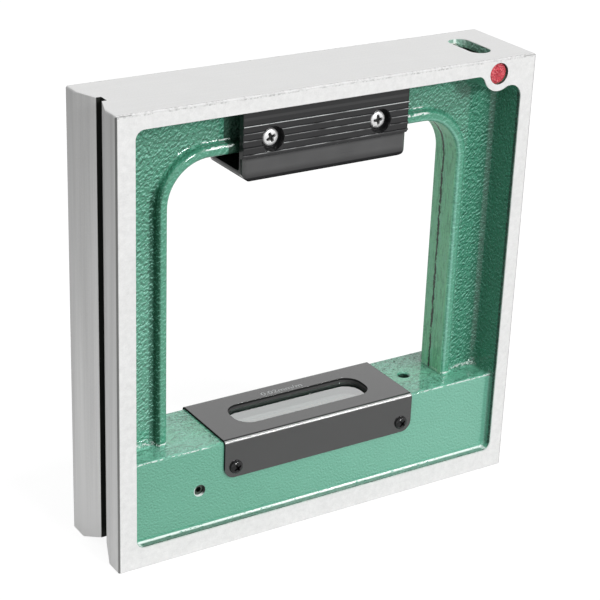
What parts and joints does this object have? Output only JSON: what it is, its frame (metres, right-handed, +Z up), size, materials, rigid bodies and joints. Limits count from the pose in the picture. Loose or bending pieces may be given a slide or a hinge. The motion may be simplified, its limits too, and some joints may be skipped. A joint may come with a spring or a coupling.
{
  "type": "square frame level",
  "caption": "Precision square frame level: cast frame with ground faces and V-grooves, a main vial under a windowed cover, a cross vial in the top corner and a hand grip.",
  "frame": {"origin": "middle of the base between its four corners, on the base plane", "axes": "+X to the right along the base towards the cross vial's side, +Y from the front face to the back, +Z up"},
  "size_m": [0.2, 0.044, 0.2],
  "materials": {
    "casting": "green hammered paint in the pockets, ground bare metal on the outer faces",
    "cover_sheet": "satin black",
    "black_screws": "black oxide",
    "gasket": "matte",
    "pane": "clear",
    "grip": "satin black",
    "bright_screws": "bright plated",
    "set_screws": "dark oiled",
    "tube": "turned",
    "plugs": "turned",
    "spring": "wire",
    "vial": "clear ground tube",
    "spirit": "green-tinted spirit",
    "plaster": "white setting compound",
    "wax": "red sealing wax"
  },
  "bodies": {
    "frame": {"frame_casting": "casting", "vial_cover": "cover_sheet", "cover_screws": "black_screws", "window_gasket": "gasket", "window_glass": "pane", "hand_grip": "grip", "grip_screws": "bright_screws", "pivot_screws": "set_screws", "cross_vial_glass": "vial", "cross_vial_spirit": "spirit", "cross_vial_bushes": "plaster", "front_bore_seal": "wax", "rear_bore_seal": "wax"},
    "vial_carrier": {"vial_tube": "tube", "pivot_end_plug": "plugs", "adjuster_end_plug": "plugs", "plug_lock_screws": "set_screws", "main_vial_glass": "vial", "main_vial_stopper": "vial", "main_vial_spirit": "spirit", "main_vial_bushes": "plaster", "return_spring": "spring"},
    "adjuster": {"adjusting_screw": "set_screws"}
  },
  "joints": [
    {"name": "adjusting_screw_turn", "type": "hinge", "parent": "frame", "child": "adjuster", "pos_m": [0.0567, 0, 0.02735], "axis": [0, 0, 1], "range_deg": [-540, 540]},
    {"name": "carrier_tilt", "type": "hinge", "parent": "frame", "child": "vial_carrier", "pos_m": [-0.0598, 0, 0.02735], "axis": [0, -1, 0], "range_deg": [-0.3688, 0.3688], "deforming": ["return_spring"]}
  ],
  "couplings": [
    {"joint": "adjusting_screw_turn", "follows": "carrier_tilt", "ratio": -1464}
  ]
}
